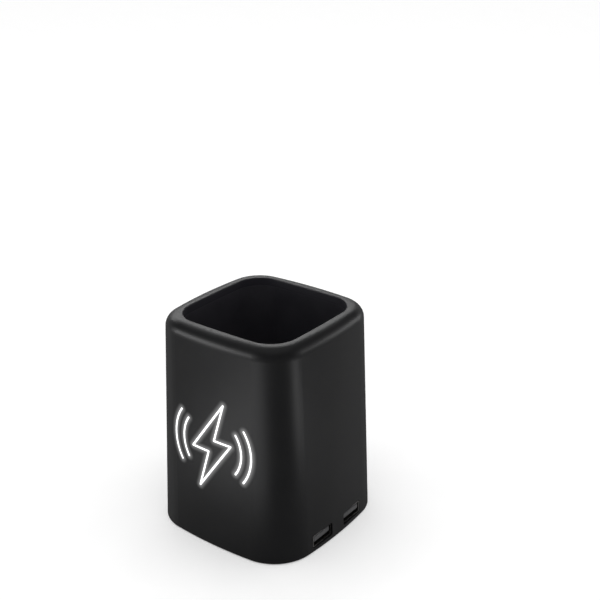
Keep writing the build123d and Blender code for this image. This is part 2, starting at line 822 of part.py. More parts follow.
# Transmitter: spiral coil of half turns, ferrite and carrier
with BuildPart() as charging_coil:
    with BuildLine(coil_middle) as winding:
        for half_turn in range(coil_half_turns):
            shift = coil_pitch / 2 if half_turn % 2 else 0.0
            radius = coil_inner_radius + half_turn * coil_pitch / 2
            CenterArc((shift, 0), radius, 180 * (half_turn % 2), 180)
    with BuildSketch(Plane(origin=winding.line @ 0, z_dir=winding.line % 0)):
        Circle(coil_wire / 2)
    sweep(path=winding.line)
save(charging_coil.part, "charging_coil")
print("coil: gap between turns", round(coil_pitch - coil_wire, 2), "mm")
with BuildPart() as ferrite_sheet:
    with BuildSketch(ferrite_front):
        RectangleRounded(ferrite_size, ferrite_size, ferrite_corner)
    extrude(amount=-ferrite_thickness)
save(ferrite_sheet.part, "ferrite_sheet")
with BuildPart() as coil_carrier:
    with BuildSketch(carrier_front):
        RectangleRounded(carrier_width, carrier_height, carrier_corner)
        Circle(carrier_window, mode=Mode.SUBTRACT)
        with Locations(coil_spots):
            Circle(small_thread / 2 + screw_clearance, mode=Mode.SUBTRACT)
    extrude(amount=-carrier_thickness)
save(coil_carrier.part, "coil_carrier")
save(
    screws(carrier_back, coil_spots, small_thread, small_thread_length, small_head,
           small_head_height),
    "coil_screws",
)

# Phone rest: leaf, barrel and lip, flush with the back wall when folded
with BuildPart() as phone_rest:
    with BuildSketch(rest_face):
        with Locations((0, rest_length / 2)):
            RectangleRounded(2 * rest_half_width, rest_length, rest_corner)
        with Locations((0, rest_length / 4)):
            Rectangle(2 * rest_half_width, rest_length / 2)
    extrude(amount=2 * rest_thickness)
    with Locations(Location((0, rest_axis_y, rest_axis_level), (0, 90, 0))):
        Cylinder(rest_barrel, 2 * rest_half_width)
    with BuildSketch(rest_face):
        with Locations((0, rest_length - lip_from_end - lip_width / 2)):
            Rectangle(2 * (rest_half_width - lip_inset), lip_width)
    extrude(amount=-lip_height)
    add(body_solid(shell_bottom, total_height), mode=Mode.INTERSECT)
    with Locations(Location((0, rest_axis_y, rest_axis_level), (0, 90, 0))):
        Cylinder(rest_pin / 2 + bore_fit, 2 * rest_half_width, mode=Mode.SUBTRACT)
save(phone_rest.part, "phone_rest")
with BuildPart() as rest_pin_rod:
    with Locations(Location((0, rest_axis_y, rest_axis_level), (0, 90, 0))):
        Cylinder(rest_pin / 2, 2 * (window_half + ear_width))
save(rest_pin_rod.part, "rest_pin")
with BuildPart() as rest_pad:
    with BuildSketch(rest_face):
        with Locations((0, pad_from_axis)):
            RectangleRounded(2 * (rest_half_width - pad_inset), pad_width, pad_corner)
    extrude(amount=-pad_thickness)
save(rest_pad.part, "rest_pad")

# Tray that closes the housing behind the folded rest
with BuildPart() as rest_tray:
    with BuildSketch(Plane.XZ.offset(-tray_back)):
        with Locations((0, (tray_bottom + tray_top) / 2)):
            Rectangle(2 * (tray_half + tray_wall), tray_top - tray_bottom)
    extrude(amount=-base_half)
    with BuildSketch(flange_front):
        with Locations((0, tray_flange_height / 2 - tray_wall)):
            Rectangle(2 * tray_flange_half, tray_flange_height)
    extrude(amount=-tray_wall)
    with BuildSketch(Plane.XZ.offset(-tray_back - tray_wall)):
        with Locations((0, (window_low + window_high + rest_gap) / 2)):
            Rectangle(2 * tray_half, window_high + rest_gap - window_low)
    extrude(amount=-base_half, mode=Mode.SUBTRACT)
    with BuildSketch(flange_front):
        with Locations(tray_spots):
            Circle(small_thread / 2 + screw_clearance)
    extrude(amount=-tray_wall, mode=Mode.SUBTRACT)
    add(body_solid(shell_bottom, roof_under, wall + tray_shell_gap), mode=Mode.INTERSECT)
save(rest_tray.part, "rest_tray")
save(
    screws(flange_back, tray_spots, small_thread, small_thread_length, small_head,
           small_head_height),
    "tray_screws",
)

# Leads from the coil and from the lamps down to their connectors
connector_top = board_top + connector_size[2]
lead_points = [
    (lead_start_x, base_half - lead_start_depth, coil_level - carrier_height / 2 - lead_start_drop),
    (post_reach - lead_side_pass, post_reach + lead_side_rise, lead_side_level),
    (post_reach - lead_low_pass, post_reach + lead_low_rise, lead_low_level),
    (connector_x + lead_entry, connector_y, lead_turn_level),
    (connector_x + lead_entry, connector_y, connector_top),
]
with BuildPart() as coil_leads:
    add(lead(lead_points))
    beside = [(x - lead_pitch, y, z - lead_stagger) for x, y, z in lead_points[:-1]]
    add(lead(beside + [(connector_x + lead_entry - lead_pitch, connector_y, connector_top)]))
save(coil_leads.part, "coil_leads")
with BuildPart() as led_wires:
    for offset_x in (-led_wire_shift, lead_pitch - led_wire_shift):
        add(lead([(-x + offset_x, -y, z) for x, y, z in lead_points[1:]]))
save(led_wires.part, "led_wires")
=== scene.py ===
# %% [markdown]
# # A pen holder that charges a phone
# The real object is a square cup of black plastic, about as tall as a hand is wide. A
# line mark glows on its front, two outlets sit low in its right-hand wall, and a rest
# folds out of its back to hold a phone against the charging coil.
#
# Every piece with a real shape and a real size comes ready from the CAD model. It could
# be modelled again here, but then each screw and outlet would have to be fitted by eye.
# So this lesson keeps the pieces as they are and works on what CAD doesn't hold: how
# each surface was made, the light in the mark, the table and the studio.

# %% Load the pieces
import json
import math

import bpy
from mathutils import Matrix, Vector


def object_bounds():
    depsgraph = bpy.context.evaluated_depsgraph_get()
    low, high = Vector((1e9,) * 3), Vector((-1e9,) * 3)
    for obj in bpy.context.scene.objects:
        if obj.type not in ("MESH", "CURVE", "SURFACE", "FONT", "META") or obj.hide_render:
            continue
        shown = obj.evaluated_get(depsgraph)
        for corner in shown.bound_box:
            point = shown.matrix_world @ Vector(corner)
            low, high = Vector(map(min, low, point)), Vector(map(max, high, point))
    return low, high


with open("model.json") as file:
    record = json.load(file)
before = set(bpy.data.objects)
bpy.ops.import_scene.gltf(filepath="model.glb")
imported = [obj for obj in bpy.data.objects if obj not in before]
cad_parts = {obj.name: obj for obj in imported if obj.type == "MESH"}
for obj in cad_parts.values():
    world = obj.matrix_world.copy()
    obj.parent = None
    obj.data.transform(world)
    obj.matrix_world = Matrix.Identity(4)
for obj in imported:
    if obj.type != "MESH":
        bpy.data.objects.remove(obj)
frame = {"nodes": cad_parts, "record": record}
nodes = frame["nodes"]
cad_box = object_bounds()
print(len(nodes), "pieces, lowest and highest corner in metres:", cad_box)

# %% [markdown]
# ## Camera
# The photographer stood to the right of the glowing front and looked down into the cup.
# A camera can be turned by hand until the picture looks right, but its place is also a
# fact that the outline of the cup gives away: two rims, four corners and a known width
# fix it. The values below were worked out that way, in metres and degrees.

# %% Camera
camera_place = Vector((0.2785, -0.3447, 0.2942))
camera_azimuth = math.radians(36.993)
camera_elevation = math.radians(23.242)
camera_roll = math.radians(-0.158)
camera_lens = 67.04
film_width = 36.0

back = Vector((
    math.sin(camera_azimuth) * math.cos(camera_elevation),
    -math.cos(camera_azimuth) * math.cos(camera_elevation),
    math.sin(camera_elevation),
))
level_right = Vector((math.cos(camera_azimuth), math.sin(camera_azimuth), 0))
level_up = back.cross(level_right)
right = math.cos(camera_roll) * level_right + math.sin(camera_roll) * level_up
up = back.cross(right)

camera_data = bpy.data.cameras.new("camera")
camera_data.sensor_width = film_width
camera_data.lens = camera_lens
camera_data.clip_start = 0.01
camera = bpy.data.objects.new("camera", camera_data)
camera_turn = Matrix((right, up, back)).transposed().to_4x4()
camera.matrix_world = Matrix.Translation(camera_place) @ camera_turn
bpy.context.scene.collection.objects.link(camera)
bpy.context.scene.camera = camera
print("camera", round(camera_place.length, 3), "m from the foot of the cup")

# %% [markdown]
# ## Tools for materials
# A material is a small graph of shader nodes. One function adds a node, sets its
# properties, and fills or links its sockets, so that a graph reads like a list. A second
# one turns a colour from a colour card, a hex code, into the linear values that light
# adds up in. A third turns the real size of a pattern into the scale that a texture asks
# for: the places come in metres, so a pattern of 1 mm has the scale 1000.

# %% Tools for materials
def srgb(code):
    """Linear colour of an sRGB hex code."""
    channels = [int(code[i:i + 2], 16) / 255 for i in (1, 3, 5)]
    linear = [c / 12.92 if c <= 0.04045 else ((c + 0.055) / 1.055) ** 2.4 for c in channels]
    return (*linear, 1.0)


def add_node(material, kind, sockets=(), **settings):
    """Add a shader node: settings are its properties, sockets its values or links."""
    tree = material.node_tree
    node = tree.nodes.new("ShaderNode" + kind)
    for name, value in settings.items():
        setattr(node, name, value)
    for socket, value in dict(sockets).items():
        if isinstance(value, bpy.types.NodeSocket):
            tree.links.new(value, node.inputs[socket])
        else:
            node.inputs[socket].default_value = value
    return node


def scale_of(millimetres):
    """Texture scale at which one feature of the pattern has this size."""
    return 1000 / millimetres


print("1 mm is scale", scale_of(1), "and mid grey is", round(srgb("#808080")[0], 3))

# %% [markdown]
# ## How a finish starts
# No moulded, plated or painted surface has quite the same colour all over, and its gloss
# drifts too. So every finish starts from two colours that lie close together and two
# values of roughness, mixed by one noise whose patches have a real size. A metal is the
# same with metallic at 1. A relief is the second thing that most finishes share: the
# grain of a mould or the lines of a rolling mill, with its real depth in millimetres.
# Some have a second colour as well, in places that a mask picks out. A noise hardly ever
# leaves the span from 0.3 to 0.7, so the drift is spread over that span.

# %% How a finish starts
drift_span = (0.3, 0.7)


def start_finish(name, dark, light, patch, roughness, metallic=0.0):
    """A finish whose colour and roughness drift between two values over patches in mm."""
    material = bpy.data.materials.new(name)
    material.use_nodes = True
    shader = material.node_tree.nodes["Principled BSDF"]
    shader.inputs["Metallic"].default_value = metallic
    place = add_node(material, "TexCoord").outputs["Object"]
    drift = add_node(material, "TexNoise", {
        "Vector": place, "Scale": scale_of(patch), "Detail": 2.0,
    })
    mix = add_node(material, "ValToRGB", {"Fac": drift.outputs["Fac"]})
    for stop, position, code in zip(mix.color_ramp.elements, drift_span, (dark, light)):
        stop.position, stop.color = position, srgb(code)
    gloss = add_node(material, "MapRange", {
        "Value": drift.outputs["Fac"], "From Min": drift_span[0], "From Max": drift_span[1],
        "To Min": roughness[0], "To Max": roughness[1],
    })
    material.node_tree.links.new(mix.outputs["Color"], shader.inputs["Base Color"])
    material.node_tree.links.new(gloss.outputs["Result"], shader.inputs["Roughness"])
    return material, shader, place


def raise_relief(material, shader, height, depth):
    """Let a pattern stand up from the surface by a depth in millimetres."""
    relief = add_node(material, "Bump", {"Height": height, "Distance": depth / 1000})
    material.node_tree.links.new(relief.outputs["Normal"], shader.inputs["Normal"])


def mix_in(material, shader, mask, colour):
    """Mix a second colour into the finish where a mask rises towards 1."""
    first = shader.inputs["Base Color"].links[0].from_socket
    mixed = add_node(material, "MixRGB", {"Fac": mask, "Color1": first, "Color2": colour})
    material.node_tree.links.new(mixed.outputs["Color"], shader.inputs["Base Color"])


finish_of = {}
print("a finish drifts between the noise values", drift_span)

# %% [markdown]
# ## Soft-touch lacquer
# The cup and the phone rest are moulded in white ABS and sprayed with soft-touch
# lacquer, a rubbery black paint full of tiny matting beads. The beads scatter nearly all
# of the mirror image, so only broad, dim highlights are left on the rounded rim. A plain
# black plastic with a high roughness comes close, but it turns grey at its edges. A low
# specular level takes that away.
#
# The real grain is about 0.05 mm, which no pixel here can show, so it is drawn at 0.3 mm
# and very shallow. Fingers leave patches of a few centimetres that are a little glossier.

# %% Soft-touch lacquer
lacquer, lacquer_shader, lacquer_place = start_finish(
    "soft_touch_lacquer", dark="#131314", light="#161617", patch=22, roughness=(0.39, 0.43)
)
lacquer_shader.inputs["Specular IOR Level"].default_value = 0.05
beads = add_node(lacquer, "TexNoise", {
    "Vector": lacquer_place, "Scale": scale_of(0.3), "Detail": 2.0,
})
raise_relief(lacquer, lacquer_shader, beads.outputs["Fac"], depth=0.002)
finish_of["soft_touch_coat"] = lacquer
print(lacquer.name, len(lacquer.node_tree.nodes), "nodes")

# %% [markdown]
# Seen at a shallow angle, the beads stand in front of one another and hide the smooth
# paint between them, so the gloss fades towards the outline of the cup. The facing value
# of Layer Weight tells how far a place turns away, from 0 to 1. It only adds roughness
# there, so the colour is the same from every side.

# %% Duller at a shallow angle
dull_from, dull_full, extra_roughness = 0.5, 0.85, 0.35

turned_away = add_node(lacquer, "LayerWeight", {"Blend": 0.5}).outputs["Facing"]
dulling = add_node(lacquer, "MapRange", {
    "Value": turned_away, "From Min": dull_from, "From Max": dull_full,
    "To Min": 0.0, "To Max": extra_roughness,
})
face_on = lacquer_shader.inputs["Roughness"].links[0].from_socket
duller = add_node(lacquer, "Math", {0: face_on, 1: dulling.outputs["Result"]}, operation="ADD")
lacquer.node_tree.links.new(duller.outputs[0], lacquer_shader.inputs["Roughness"])
print("roughness rises by", extra_roughness, "towards the outline")

# %% [markdown]
# A black primer goes on before the lacquer and keeps the light in. The lacquer is sprayed
# from outside and misses the inner face of the mouth, so the primer shows there, faintly
# blue like the liner below it. Two facts pick that face out: it is in the top few
# millimetres, and its normal points back to the middle of the cup. How well a normal
# points away from the middle is a number from -1 to 1, and the lacquer ends where it
# falls from -0.3 to -0.6.

# %% Primer inside the mouth
mouth_depth = 0.0045
lacquer_ends, primer_starts = -0.3, -0.6
primer_colour = srgb("#27262b")

cup_top = cad_box[1][2]
mouth_level = cup_top - mouth_depth

level_place = add_node(lacquer, "VectorMath", {
    0: lacquer_place, 1: (1, 1, 0),
}, operation="MULTIPLY")
away = add_node(lacquer, "VectorMath", {0: level_place.outputs[0]}, operation="NORMALIZE")
normal = add_node(lacquer, "NewGeometry").outputs["Normal"]
faces_away = add_node(lacquer, "VectorMath", {
    0: away.outputs[0], 1: normal,
}, operation="DOT_PRODUCT")
faces_back = add_node(lacquer, "MapRange", {
    "Value": faces_away.outputs["Value"], "From Min": lacquer_ends, "From Max": primer_starts,
    "To Min": 0.0, "To Max": 1.0,
}).outputs["Result"]
lacquer_level = add_node(lacquer, "SeparateXYZ", {0: lacquer_place}).outputs["Z"]
high_up = add_node(lacquer, "Math", {0: lacquer_level, 1: mouth_level}, operation="GREATER_THAN")
primed = add_node(lacquer, "Math", {0: faces_back, 1: high_up.outputs[0]}, operation="MULTIPLY")
mix_in(lacquer, lacquer_shader, primed.outputs[0], primer_colour)
print("primer above", round(mouth_level * 1000, 1), "mm")

# %% [markdown]
# ## Painted glow around the mark
# A laser cuts the mark through lacquer and primer, and lamps shine through the white
# plastic below. Some of that light spreads sideways and comes out beside the lines as a
# soft halo, a few millimetres wide. A camera effect could add it to a picture, but not to
# the model. Here the halo is a glow painted on the lacquer itself, by how far each of its
# points is from the nearest line.
#
# The mark is a bolt between two pairs of arcs. The bolt is six straight strokes, and the
# distance to a stroke is found as on paper: walk along the stroke to the nearest point,
# but not past its ends, and measure from there. The corners are in millimetres from the
# middle of the mark, and the height of that middle is measured on the piece itself.

# %% Distance to the strokes of the bolt
bolt = [(6.5, 21), (-10.5, -3), (-1.5, -3), (-6.5, -21), (10.5, 3), (1.5, 3)]
bolt_corners = [Vector((x / 1000, 0, z / 1000)) for x, z in bolt]

mark = nodes["lit_mark"]
mark_heights = [(mark.matrix_world @ vertex.co).z for vertex in mark.data.vertices]
mark_level = (min(mark_heights) + max(mark_heights)) / 2

from_middle = add_node(lacquer, "VectorMath", {
    0: lacquer_place, 1: (0, 0, mark_level),
}, operation="SUBTRACT").outputs[0]
on_face = add_node(lacquer, "VectorMath", {
    0: from_middle, 1: (1, 0, 1),
}, operation="MULTIPLY").outputs[0]
distances = []
for start, end in zip(bolt_corners, bolt_corners[1:] + bolt_corners[:1]):
    stroke = end - start
    per_length = stroke / stroke.length_squared
    along = add_node(lacquer, "VectorMath", {0: on_face, 1: start}, operation="SUBTRACT").outputs[0]
    share = add_node(lacquer, "VectorMath", {0: along, 1: per_length}, operation="DOT_PRODUCT")
    inside = add_node(lacquer, "Clamp", {"Value": share.outputs["Value"]}).outputs[0]
    nearest = add_node(lacquer, "VectorMath", {0: stroke, "Scale": inside}, operation="SCALE")
    gap = add_node(lacquer, "VectorMath", {0: along, 1: nearest.outputs[0]}, operation="DISTANCE")
    distances.append(gap.outputs["Value"])
print(len(distances), "strokes round a middle at", round(mark_level * 1000, 2), "mm")

# %% [markdown]
# Each arc is part of a circle round the middle of the mark, from 35 degrees below the
# level to 35 above. The left and right arcs mirror each other, so the sign of the place
# is dropped first, and one arc of each size is enough. The nearest point has the same
# angle as the point itself, up to the arc's end.

# %% Distance to the arcs
arc_radii = (0.016, 0.021)
arc_end = math.radians(35)

folded = add_node(lacquer, "VectorMath", {0: on_face}, operation="ABSOLUTE").outputs[0]
parts = add_node(lacquer, "SeparateXYZ", {0: folded})
angle = add_node(lacquer, "Math", {
    0: parts.outputs["Z"], 1: parts.outputs["X"],
}, operation="ARCTAN2")
angle = add_node(lacquer, "Math", {0: angle.outputs[0], 1: arc_end}, operation="MINIMUM")
across = add_node(lacquer, "Math", {0: angle.outputs[0]}, operation="COSINE")
rise = add_node(lacquer, "Math", {0: angle.outputs[0]}, operation="SINE")
way = add_node(lacquer, "CombineXYZ", {"X": across.outputs[0], "Z": rise.outputs[0]})
for radius in arc_radii:
    nearest = add_node(lacquer, "VectorMath", {
        0: way.outputs[0], "Scale": radius,
    }, operation="SCALE")
    gap = add_node(lacquer, "VectorMath", {0: folded, 1: nearest.outputs[0]}, operation="DISTANCE")
    distances.append(gap.outputs["Value"])
print(len(distances), "distances")

# %% [markdown]
# The smallest distance counts. The painted halo starts at the edge of the line, half a line width
# from its middle, and dies away over 2.5 mm, fast at first. It belongs to the front wall
# alone, where y is below zero.

# %% Halo
line_width = 0.0009
halo_reach = 0.0025
halo_strength = 0.24

closest = distances[0]
for distance in distances[1:]:
    closest = add_node(lacquer, "Math", {0: closest, 1: distance}, operation="MINIMUM").outputs[0]
fade = add_node(lacquer, "MapRange", {
    "Value": closest, "From Min": line_width / 2, "From Max": line_width / 2 + halo_reach,
    "To Min": 1.0, "To Max": 0.0,
})
soft = add_node(lacquer, "Math", {0: fade.outputs[0], 1: 2.0}, operation="POWER")
depth_place = add_node(lacquer, "SeparateXYZ", {0: lacquer_place})
front = add_node(lacquer, "Math", {0: depth_place.outputs["Y"], 1: 0.0}, operation="LESS_THAN")
# The halo is painted light: the lacquer gets it as its own emission.
halo = add_node(lacquer, "Math", {0: soft.outputs[0], 1: front.outputs[0]}, operation="MULTIPLY")
painted_glow = add_node(lacquer, "Math", {0: halo.outputs[0], 1: halo_strength}, operation="MULTIPLY")
lacquer.node_tree.links.new(painted_glow.outputs[0], lacquer_shader.inputs["Emission Strength"])
lacquer_shader.inputs["Emission Color"].default_value = srgb("#ffffff")
print("halo", round(halo_reach * 1000, 1), "mm wide")

# %% [markdown]
# ## Lit white ABS
# Where the laser has been, the white ABS of the wall shows, and light comes through it.
# A lamp behind it would need many samples to shine through, so the piece glows by itself.
# The light enters its guide at the lower edge, so the mark is a little brighter there.

# %% Lit white ABS
glow_below, glow_above = 1.0, 0.95

lit_abs, shader, place = start_finish(
    "backlit_white_abs", dark="#f0f2f4", light="#fafbfc", patch=4, roughness=(0.35, 0.45)
)
height = add_node(lit_abs, "SeparateXYZ", {0: place})
brightness = add_node(lit_abs, "MapRange", {
    "Value": height.outputs["Z"], "From Min": min(mark_heights), "From Max": max(mark_heights),
    "To Min": glow_below, "To Max": glow_above,
})
lit_abs.node_tree.links.new(brightness.outputs["Result"], shader.inputs["Emission Strength"])
shader.inputs["Emission Color"].default_value = srgb("#ffffff")
finish_of["lit_core"] = lit_abs
print(lit_abs.name, "glows", glow_below, "at its foot and", glow_above, "at its top")

# %% [markdown]
# ## Moulded ABS
# The liner of the cup is bare black ABS with a faint blue tint. Its mould was spark
# eroded, which leaves a fine, even texture of rounded pits, so it looks darker and
# drier than the lacquer. Pits of 0.1 mm are drawn at 0.4 mm. The base and the tray of the
# rest come from a smoother mould, with a satin sheen.

# %% Spark-eroded ABS
liner_abs, shader, place = start_finish(
    "spark_eroded_abs", dark="#242328", light="#29282d", patch=12, roughness=(0.52, 0.6)
)
shader.inputs["Specular IOR Level"].default_value = 0.3
pits = add_node(liner_abs, "TexVoronoi", {
    "Vector": place, "Scale": scale_of(0.4),
}, feature="SMOOTH_F1")
raise_relief(liner_abs, shader, pits.outputs["Distance"], depth=0.012)
finish_of["cup_abs"] = liner_abs

# %% Satin ABS
satin_abs, shader, place = start_finish(
    "satin_abs", dark="#161617", light="#1b1b1c", patch=9, roughness=(0.38, 0.46)
)
skin = add_node(satin_abs, "TexNoise", {"Vector": place, "Scale": scale_of(0.25), "Detail": 3.0})
raise_relief(satin_abs, shader, skin.outputs["Fac"], depth=0.004)
finish_of["black_abs"] = satin_abs
print(liner_abs.name, satin_abs.name)

# %% [markdown]
# ## Silicone
# The feet and the pad of the rest are moulded silicone: dark grey, dull, and dusty
# within a day. Dust and lint are what tell silicone from plastic at a glance. So the
# finish gets pale specks of about 0.15 mm on top of its drift, drawn at 0.3 mm. They are
# the peaks of the same noise that makes the surface uneven.

# %% Silicone
lint_starts, lint_full, lint_cover = 0.6, 0.75, 0.35

silicone, shader, place = start_finish(
    "moulded_silicone", dark="#232325", light="#2a2a2c", patch=6, roughness=(0.7, 0.85)
)
shader.inputs["Specular IOR Level"].default_value = 0.35
dust = add_node(silicone, "TexNoise", {"Vector": place, "Scale": scale_of(0.3), "Detail": 4.0})
raise_relief(silicone, shader, dust.outputs["Fac"], depth=0.01)
lint = add_node(silicone, "MapRange", {
    "Value": dust.outputs["Fac"], "From Min": lint_starts, "From Max": lint_full,
    "To Min": 0.0, "To Max": lint_cover,
})
mix_in(silicone, shader, lint.outputs["Result"], srgb("#77777a"))
finish_of["silicone"] = silicone
print(silicone.name)

# %% [markdown]
# ## Steel
# The outlets are stamped from rolled strip and nickel plated. Rolling leaves fine lines
# along the strip, which stretch a highlight across them. The lines are a noise squeezed
# fifty times shorter across than along. The screws, the pin and the weight are zinc
# plated: duller, a little blue, with patches like those on a new bolt.

# %% Nickel-plated steel
nickel, shader, place = start_finish(
    "nickel_plated_steel", dark="#4e4d4c", light="#5f5e5c", patch=3, roughness=(0.36, 0.44),
    metallic=1.0,
)
along_strip = add_node(nickel, "Mapping", {"Vector": place, "Scale": (1 / 50, 1, 1)})
rolled = add_node(nickel, "TexNoise", {
    "Vector": along_strip.outputs[0], "Scale": scale_of(0.12), "Detail": 2.0,
})
raise_relief(nickel, shader, rolled.outputs["Fac"], depth=0.003)
finish_of["outlet_steel"] = nickel

# %% Zinc-plated steel
zinc, shader, place = start_finish(
    "zinc_plated_steel", dark="#a4a8ae", light="#bcbfc2", patch=1.2, roughness=(0.3, 0.42),
    metallic=1.0,
)
crystals = add_node(zinc, "TexVoronoi", {"Vector": place, "Scale": scale_of(0.5)})
raise_relief(zinc, shader, crystals.outputs["Distance"], depth=0.002)
finish_of["plated_steel"] = zinc
print(nickel.name, zinc.name)

# %% [markdown]
# ## Inside the outlets
# The tongue of an outlet is a glass-filled plastic that keeps its shape when it is
# soldered. The fibres make it dull and flecked. Its contacts are copper with a flash of
# gold, thin enough that the stamping marks still show.

# %% Tongue and contacts
tongue, shader, place = start_finish(
    "glass_filled_nylon", dark="#29292b", light="#313133", patch=2, roughness=(0.5, 0.6)
)
fibres = add_node(tongue, "TexNoise", {"Vector": place, "Scale": scale_of(0.3), "Detail": 3.0})
raise_relief(tongue, shader, fibres.outputs["Fac"], depth=0.005)
finish_of["outlet_plastic"] = tongue

gold, shader, place = start_finish(
    "flash_gold", dark="#d2a450", light="#e6bf6e", patch=0.8, roughness=(0.2, 0.3), metallic=1.0,
)
stamped = add_node(gold, "TexNoise", {"Vector": place, "Scale": scale_of(0.15), "Detail": 2.0})
raise_relief(gold, shader, stamped.outputs["Fac"], depth=0.002)
finish_of["gold_contact"] = gold
print(tongue.name, gold.name)

# %% [markdown]
# ## Circuit board
# A board is glass cloth with copper tracks under a green solder mask. Over copper the
# mask looks lighter, so the tracks show as bands. A brick pattern gives bands 0.9 mm
# wide and 7 mm long, side by side with gaps of 0.3 mm, which is how a row of power tracks
# looks. The mask is glossy and a little higher over the copper.

# %% Solder mask
mask, shader, place = start_finish(
    "solder_mask", dark="#0d4a2a", light="#10542f", patch=5, roughness=(0.22, 0.3)
)
tracks = add_node(mask, "TexBrick", {
    "Vector": place, "Scale": scale_of(1), "Brick Width": 7.0, "Row Height": 1.2,
    "Color1": srgb("#1c7443"), "Color2": srgb("#217c49"),
    "Mortar": srgb("#0e4d2b"), "Mortar Size": 0.15, "Mortar Smooth": 0.2,
})
mask.node_tree.links.new(tracks.outputs["Color"], shader.inputs["Base Color"])
over_copper = add_node(mask, "Math", {0: 1.0, 1: tracks.outputs["Fac"]}, operation="SUBTRACT")
raise_relief(mask, shader, over_copper.outputs[0], depth=0.03)
finish_of["board_mask"] = mask
print(mask.name)

# %% [markdown]
# ## Components
# Four kinds of body sit on the boards. Chips are moulded epoxy, nearly black and finely
# sanded. The inductor and the sheet behind the coil are sintered ferrite, grey with
# coarse grains. Ceramic capacitors are fired, tan and smooth. The tall capacitors are
# aluminium cans, drawn from a disc, so their fine lines run up the side.

# %% Epoxy and ferrite
epoxy, shader, place = start_finish(
    "moulded_epoxy", dark="#19191a", light="#202021", patch=1.5, roughness=(0.5, 0.62)
)
filler = add_node(epoxy, "TexNoise", {"Vector": place, "Scale": scale_of(0.12), "Detail": 2.0})
raise_relief(epoxy, shader, filler.outputs["Fac"], depth=0.006)
finish_of["chip_epoxy"] = epoxy

ferrite, shader, place = start_finish(
    "sintered_ferrite", dark="#333235", light="#434246", patch=0.6, roughness=(0.6, 0.78)
)
grains = add_node(ferrite, "TexVoronoi", {"Vector": place, "Scale": scale_of(0.3)})
raise_relief(ferrite, shader, grains.outputs["Distance"], depth=0.02)
finish_of["ferrite"] = ferrite
print(epoxy.name, ferrite.name)

# %% Ceramic and aluminium
ceramic, shader, place = start_finish(
    "fired_ceramic", dark="#a5835b", light="#b8946a", patch=1.0, roughness=(0.35, 0.5)
)
fired = add_node(ceramic, "TexNoise", {"Vector": place, "Scale": scale_of(0.2), "Detail": 3.0})
raise_relief(ceramic, shader, fired.outputs["Fac"], depth=0.006)
finish_of["capacitor_ceramic"] = ceramic

can, shader, place = start_finish(
    "drawn_aluminium", dark="#c8cacc", light="#d9dadc", patch=2.5, roughness=(0.25, 0.35),
    metallic=1.0,
)
up_the_side = add_node(can, "Mapping", {"Vector": place, "Scale": (1, 1, 0.03)})
drawn = add_node(can, "TexNoise", {
    "Vector": up_the_side.outputs[0], "Scale": scale_of(0.15), "Detail": 2.0,
})
raise_relief(can, shader, drawn.outputs["Fac"], depth=0.003)
finish_of["capacitor_can"] = can
print(ceramic.name, can.name)

# %% [markdown]
# ## Nylon, acrylic and film
# The frames and plugs are nylon without colour: milky, so a little light goes into it and
# comes out again. The light guide is clear acrylic. Its face is printed with white dots
# that knock the light out towards the mark, 0.6 mm wide and 1.5 mm apart. Here a dot is a
# place of high roughness. The film behind the guide is white polyester, dull as paper,
# and throws back what the dots miss.

# %% Nylon
nylon, shader, place = start_finish(
    "uncoloured_nylon", dark="#ddd7c6", light="#e8e3d5", patch=5, roughness=(0.4, 0.5)
)
shader.inputs["Subsurface Weight"].default_value = 0.2
shader.inputs["Subsurface Radius"].default_value = (1.0, 0.8, 0.6)
shader.inputs["Subsurface Scale"].default_value = 0.001
flow = add_node(nylon, "TexNoise", {"Vector": place, "Scale": scale_of(0.8), "Detail": 3.0})
raise_relief(nylon, shader, flow.outputs["Fac"], depth=0.008)
finish_of["natural_nylon"] = nylon
print(nylon.name)

# %% Acrylic and film
dot_pitch, dot_radius = 1.5, 0.3
polished, printed_rough = 0.03, 0.7

acrylic, shader, place = start_finish(
    "polished_acrylic", dark="#f4f8f8", light="#fcfefe", patch=8, roughness=(0.02, 0.05)
)
shader.inputs["Transmission Weight"].default_value = 1.0
shader.inputs["IOR"].default_value = 1.49
dots = add_node(acrylic, "TexVoronoi", {
    "Vector": place, "Scale": scale_of(dot_pitch), "Randomness": 0.0,
})
printed = add_node(acrylic, "MapRange", {
    "Value": dots.outputs["Distance"], "To Min": printed_rough, "To Max": polished,
    "From Min": 0.9 * dot_radius / dot_pitch, "From Max": 1.1 * dot_radius / dot_pitch,
})
acrylic.node_tree.links.new(printed.outputs["Result"], shader.inputs["Roughness"])
finish_of["clear_acrylic"] = acrylic

film, shader, place = start_finish(
    "white_polyester_film", dark="#ececea", light="#f4f4f2", patch=3, roughness=(0.75, 0.9)
)
tooth = add_node(film, "TexNoise", {"Vector": place, "Scale": scale_of(0.2), "Detail": 4.0})
raise_relief(film, shader, tooth.outputs["Fac"], depth=0.01)
finish_of["white_film"] = film
print(acrylic.name, film.name)

# %% [markdown]
# ## Lamps and wires
# A white light-emitting diode is a blue one under yellow phosphor, so it is yellow when
# off and warm white when on. The wires to it and to the coil are copper in red soft PVC.
# The coil itself is a bundle of enamelled strands, laid flat. The strands run with the
# turns, so rings round the middle of the coil, 0.3 mm apart, draw them. A wave texture of
# scale 1 turns by 20 radians along one metre, so it has 20 / 2 pi rings there, and the
# scale is divided by that.

# %% Phosphor and PVC
phosphor, shader, place = start_finish(
    "silicone_with_phosphor", dark="#e6cf62", light="#f2de7c", patch=0.7, roughness=(0.3, 0.4)
)
shader.inputs["Emission Color"].default_value = srgb("#fff4dc")
shader.inputs["Emission Strength"].default_value = 1.0
powder = add_node(phosphor, "TexNoise", {"Vector": place, "Scale": scale_of(0.1), "Detail": 2.0})
raise_relief(phosphor, shader, powder.outputs["Fac"], depth=0.004)
finish_of["led_phosphor"] = phosphor

